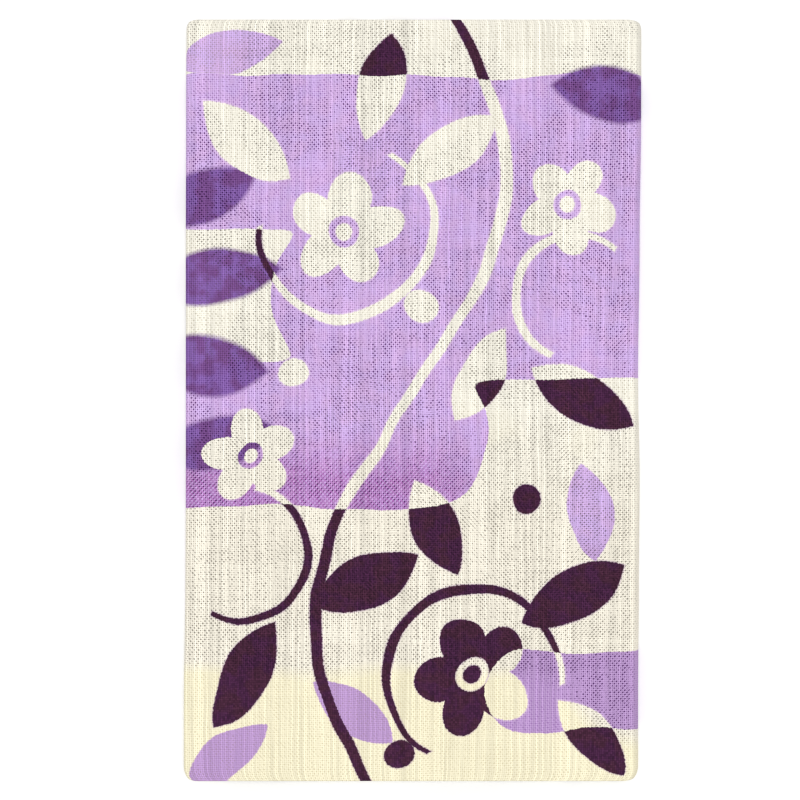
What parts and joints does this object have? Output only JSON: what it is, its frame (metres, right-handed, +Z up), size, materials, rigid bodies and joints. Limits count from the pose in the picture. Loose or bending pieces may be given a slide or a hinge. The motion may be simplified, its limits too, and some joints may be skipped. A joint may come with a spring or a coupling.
{
  "type": "tenugui towel",
  "caption": "Thin cotton hand towel folded flat into an upright oblong, patterned front up, with both side thirds folded behind.",
  "frame": {"origin": "under the middle of the folded towel, on the surface it lies on", "axes": "+X to the right and +Y up the patterned front, +Z up out of the front"},
  "size_m": [0.116, 0.1924, 0.0069],
  "materials": {
    "dyed_cotton": "matte plain weave"
  },
  "bodies": {
    "root": {"folded_towel": "dyed_cotton"}
  },
  "joints": []
}
